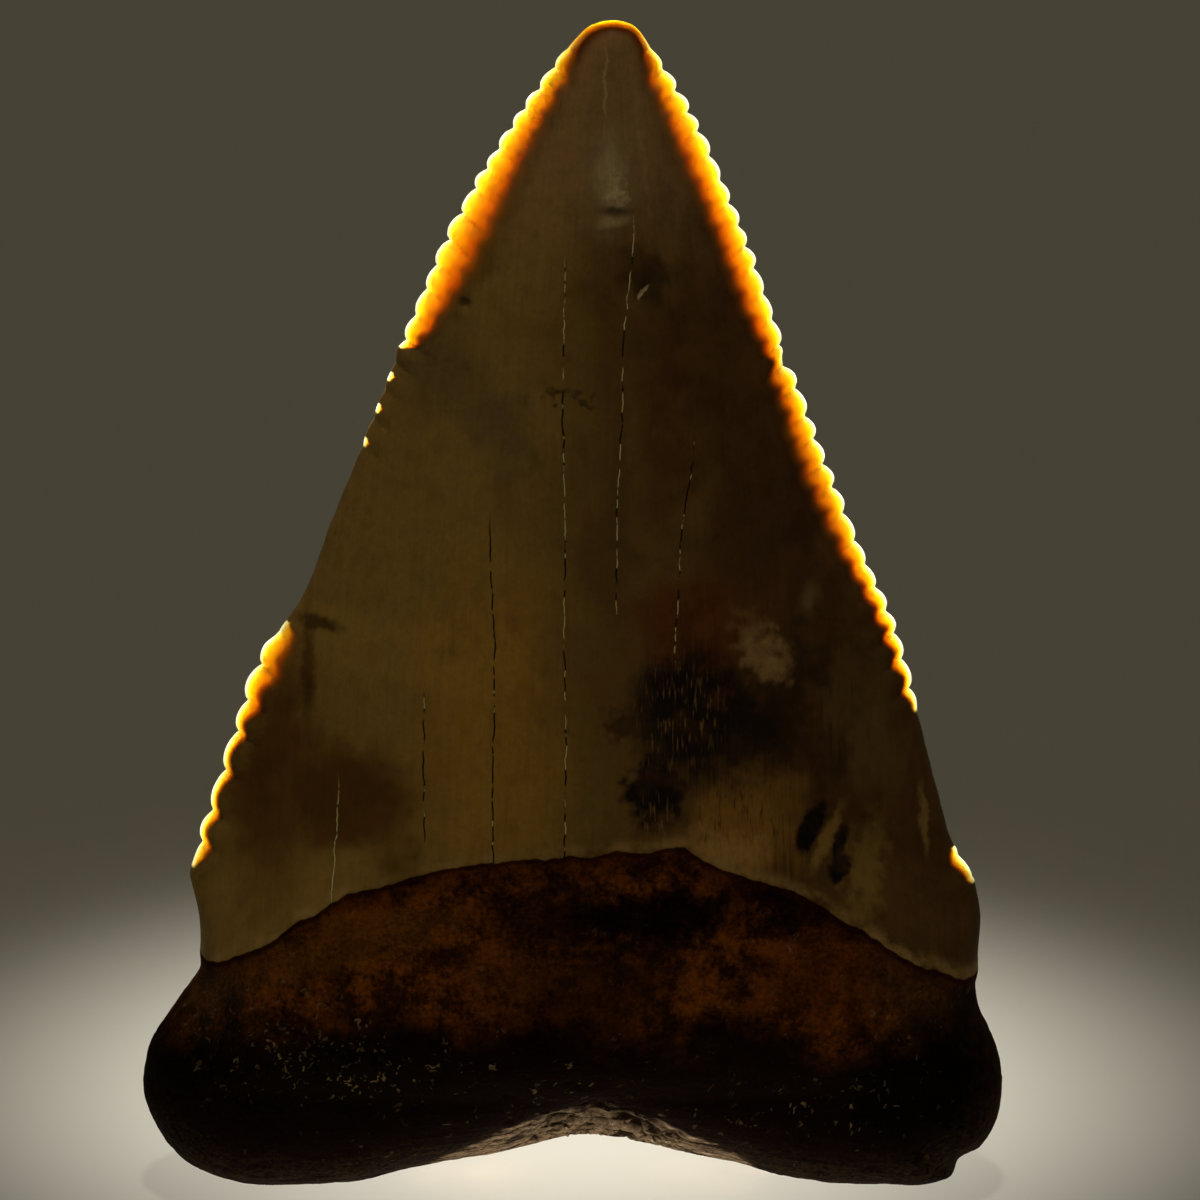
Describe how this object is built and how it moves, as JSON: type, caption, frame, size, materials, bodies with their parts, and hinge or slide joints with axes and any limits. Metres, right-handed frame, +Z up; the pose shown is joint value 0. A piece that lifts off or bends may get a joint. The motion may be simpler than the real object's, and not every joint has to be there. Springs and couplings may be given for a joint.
{
  "type": "fossil shark tooth",
  "caption": "Fossil great white shark tooth with serrated cutting edges, standing on the two lobes of its root.",
  "frame": {"origin": "on the surface that the tooth stands on, below the middle of its box", "axes": "+Z up to the tip, -Y to the swollen lingual face, +Y to the flatter labial face, +X to the right seen from the lingual side"},
  "size_m": [0.0356, 0.0126, 0.0475],
  "materials": {
    "fossil_tooth": "glossy olive-brown enamel that glows amber at its thin edges, on a matt dark brown root"
  },
  "bodies": {
    "root": {"tooth": "fossil_tooth"}
  },
  "joints": []
}
